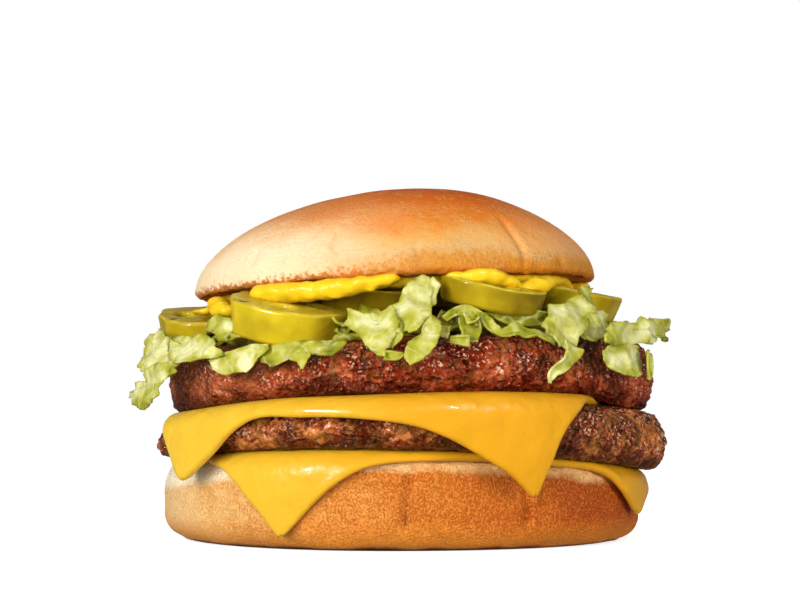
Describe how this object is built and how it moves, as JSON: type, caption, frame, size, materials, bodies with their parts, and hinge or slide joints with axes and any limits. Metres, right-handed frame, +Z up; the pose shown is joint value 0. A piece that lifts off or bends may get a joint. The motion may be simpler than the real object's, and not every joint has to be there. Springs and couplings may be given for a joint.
{
  "type": "double cheeseburger",
  "caption": "Double cheeseburger: soft bun, beef patties under draped cheese slices, shredded lettuce, thick pickled pepper slices and mustard.",
  "frame": {"origin": "middle of the bun heel's flat underside, on the surface that it rests on", "axes": "+Z up through the stack; -Y is the front, towards which the cheese corners hang; +X is to the right seen from the front"},
  "size_m": [0.119, 0.1151, 0.0749],
  "materials": {
    "bun": "soft baked crust, golden brown on top, pale on the flanks, satin",
    "cheese": "melted processed cheese, smooth and glossy",
    "beef": "grilled ground beef, lumpy, greasy glints",
    "lettuce": "shredded iceberg lettuce, thin, moist, pale ribs",
    "pepper": "pickled green pepper, wet smooth skin, paler flesh",
    "mustard": "yellow mustard, smooth wet gloss"
  },
  "bodies": {
    "root": {"bun_heel": "bun", "cheese_lower": "cheese", "patty_lower": "beef", "cheese_upper": "cheese", "patty_upper": "beef", "lettuce": "lettuce", "pepper_slice_1": "pepper", "pepper_slice_2": "pepper", "pepper_slice_3": "pepper", "pepper_slice_4": "pepper", "pepper_slice_5": "pepper", "pepper_slice_6": "pepper", "pepper_slice_7": "pepper", "pepper_slice_8": "pepper", "mustard": "mustard", "bun_crown": "bun"}
  },
  "joints": []
}
